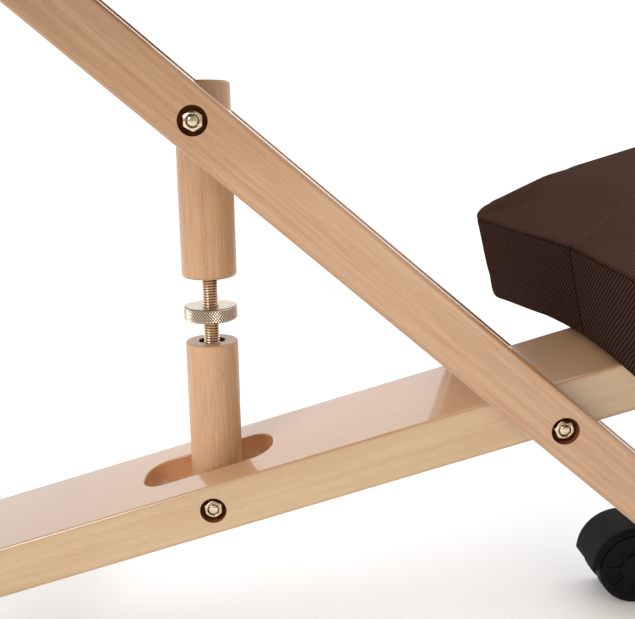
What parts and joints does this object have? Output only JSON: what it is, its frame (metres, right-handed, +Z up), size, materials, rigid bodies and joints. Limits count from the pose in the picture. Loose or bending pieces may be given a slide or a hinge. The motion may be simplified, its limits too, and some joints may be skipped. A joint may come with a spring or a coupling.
{
  "type": "kneeling chair",
  "caption": "Wooden kneeling chair with crossed centre beam and side rails, padded seat and knee pad, screw height adjuster and hooded swivel casters.",
  "frame": {"origin": "on the floor, under the middle of the chair's bounding box", "axes": "+X forward to the knee pad, +Y to the sitter's left, +Z up"},
  "size_m": [0.7582, 0.456, 0.6616],
  "materials": {
    "beech": "satin lacquer",
    "plywood": "plain",
    "twill": "ribbed twill",
    "zinc": "yellow zinc plated",
    "nickel": "warm nickel plated",
    "steel": "plain",
    "black_plastic": "satin moulded"
  },
  "bodies": {
    "base": {"center_beam": "beech", "rear_crossbar": "beech", "rear_crossbar_screws": "steel", "rear_caster_sockets": "steel", "lower_cross_bolt": "zinc", "lower_cross_nut": "zinc", "lower_post_washers": "zinc", "knee_board": "plywood", "knee_board_screws": "steel", "knee_cushion": "twill"},
    "seat_frame": {"side_rail_right": "beech", "side_rail_left": "beech", "front_crossbar": "beech", "front_crossbar_screws": "steel", "front_caster_sockets": "steel", "main_pivot_bolt": "zinc", "main_pivot_nut": "zinc", "main_pivot_washers": "zinc", "upper_cross_bolt": "zinc", "upper_cross_nut": "zinc", "upper_post_spacers": "black_plastic", "seat_bearer_right": "beech", "seat_bearer_left": "beech", "seat_bearer_bolts": "zinc", "seat_bearer_nuts": "zinc", "seat_board": "plywood", "seat_screws": "steel", "seat_cushion": "twill"},
    "lower_post": {"lower_post": "beech", "lower_thread_insert": "nickel"},
    "threaded_rod": {"threaded_rod": "zinc"},
    "adjuster_wheel": {"adjuster_wheel": "nickel"},
    "upper_post": {"upper_post": "beech", "upper_thread_insert": "nickel"},
    "rear_right_caster": {"rear_right_caster_stem": "steel", "rear_right_caster_hood": "black_plastic", "rear_right_caster_axle": "steel"},
    "rear_right_caster_wheel_right": {"rear_right_caster_wheel_right": "black_plastic"},
    "rear_right_caster_wheel_left": {"rear_right_caster_wheel_left": "black_plastic"},
    "rear_left_caster": {"rear_left_caster_stem": "steel", "rear_left_caster_hood": "black_plastic", "rear_left_caster_axle": "steel"},
    "rear_left_caster_wheel_right": {"rear_left_caster_wheel_right": "black_plastic"},
    "rear_left_caster_wheel_left": {"rear_left_caster_wheel_left": "black_plastic"},
    "front_right_caster": {"front_right_caster_stem": "steel", "front_right_caster_hood": "black_plastic", "front_right_caster_axle": "steel"},
    "front_right_caster_wheel_right": {"front_right_caster_wheel_right": "black_plastic"},
    "front_right_caster_wheel_left": {"front_right_caster_wheel_left": "black_plastic"},
    "front_left_caster": {"front_left_caster_stem": "steel", "front_left_caster_hood": "black_plastic", "front_left_caster_axle": "steel"},
    "front_left_caster_wheel_right": {"front_left_caster_wheel_right": "black_plastic"},
    "front_left_caster_wheel_left": {"front_left_caster_wheel_left": "black_plastic"}
  },
  "joints": [
    {"name": "height_hinge", "type": "hinge", "parent": "base", "child": "seat_frame", "pos_m": [0.11959, 0, 0.25759], "axis": [0, 1, 0], "range_deg": [-7, 7]},
    {"name": "lower_post_hinge", "type": "hinge", "parent": "base", "child": "lower_post", "pos_m": [-0.07566, 0, 0.2005], "axis": [0, 1, 0], "range_deg": [-5.53, 5.53]},
    {"name": "rod_slide", "type": "slide", "parent": "lower_post", "child": "threaded_rod", "axis": [-0.0198, 0, 0.9998], "range_m": [-0.01249, 0.01249]},
    {"name": "upper_post_slide", "type": "slide", "parent": "threaded_rod", "child": "upper_post", "axis": [-0.0198, 0, 0.9998], "range_m": [-0.01249, 0.01249]},
    {"name": "wheel_spin", "type": "hinge", "parent": "threaded_rod", "child": "adjuster_wheel", "pos_m": [-0.07784, 0, 0.31068], "axis": [-0.0198, 0, 0.9998], "range_deg": [-3000, 3000]},
    {"name": "rear_right_caster_swivel", "type": "hinge", "parent": "base", "child": "rear_right_caster", "pos_m": [-0.31166, -0.1875, 0.075], "axis": [0, 0, 1], "continuous": true},
    {"name": "rear_right_caster_wheel_right_spin", "type": "hinge", "parent": "rear_right_caster", "child": "rear_right_caster_wheel_right", "pos_m": [-0.33966, -0.1875, 0.033], "axis": [0, 1, 0], "continuous": true},
    {"name": "rear_right_caster_wheel_left_spin", "type": "hinge", "parent": "rear_right_caster", "child": "rear_right_caster_wheel_left", "pos_m": [-0.33966, -0.1875, 0.033], "axis": [0, 1, 0], "continuous": true},
    {"name": "rear_left_caster_swivel", "type": "hinge", "parent": "base", "child": "rear_left_caster", "pos_m": [-0.31166, 0.1875, 0.075], "axis": [0, 0, 1], "continuous": true},
    {"name": "rear_left_caster_wheel_right_spin", "type": "hinge", "parent": "rear_left_caster", "child": "rear_left_caster_wheel_right", "pos_m": [-0.33966, 0.1875, 0.033], "axis": [0, 1, 0], "continuous": true},
    {"name": "rear_left_caster_wheel_left_spin", "type": "hinge", "parent": "rear_left_caster", "child": "rear_left_caster_wheel_left", "pos_m": [-0.33966, 0.1875, 0.033], "axis": [0, 1, 0], "continuous": true},
    {"name": "front_right_caster_swivel", "type": "hinge", "parent": "seat_frame", "child": "front_right_caster", "pos_m": [0.31334, -0.1875, 0.075], "axis": [0, 0, 1], "continuous": true},
    {"name": "front_right_caster_wheel_right_spin", "type": "hinge", "parent": "front_right_caster", "child": "front_right_caster_wheel_right", "pos_m": [0.28534, -0.1875, 0.033], "axis": [0, 1, 0], "continuous": true},
    {"name": "front_right_caster_wheel_left_spin", "type": "hinge", "parent": "front_right_caster", "child": "front_right_caster_wheel_left", "pos_m": [0.28534, -0.1875, 0.033], "axis": [0, 1, 0], "continuous": true},
    {"name": "front_left_caster_swivel", "type": "hinge", "parent": "seat_frame", "child": "front_left_caster", "pos_m": [0.31334, 0.1875, 0.075], "axis": [0, 0, 1], "continuous": true},
    {"name": "front_left_caster_wheel_right_spin", "type": "hinge", "parent": "front_left_caster", "child": "front_left_caster_wheel_right", "pos_m": [0.28534, 0.1875, 0.033], "axis": [0, 1, 0], "continuous": true},
    {"name": "front_left_caster_wheel_left_spin", "type": "hinge", "parent": "front_left_caster", "child": "front_left_caster_wheel_left", "pos_m": [0.28534, 0.1875, 0.033], "axis": [0, 1, 0], "continuous": true}
  ],
  "couplings": [
    {"joint": "lower_post_hinge", "follows": "height_hinge", "ratio": 0.76125},
    {"joint": "rod_slide", "follows": "height_hinge", "m_per_rad": 0.098171},
    {"joint": "upper_post_slide", "follows": "height_hinge", "m_per_rad": 0.098171},
    {"joint": "wheel_spin", "follows": "height_hinge", "ratio": 411.22}
  ]
}
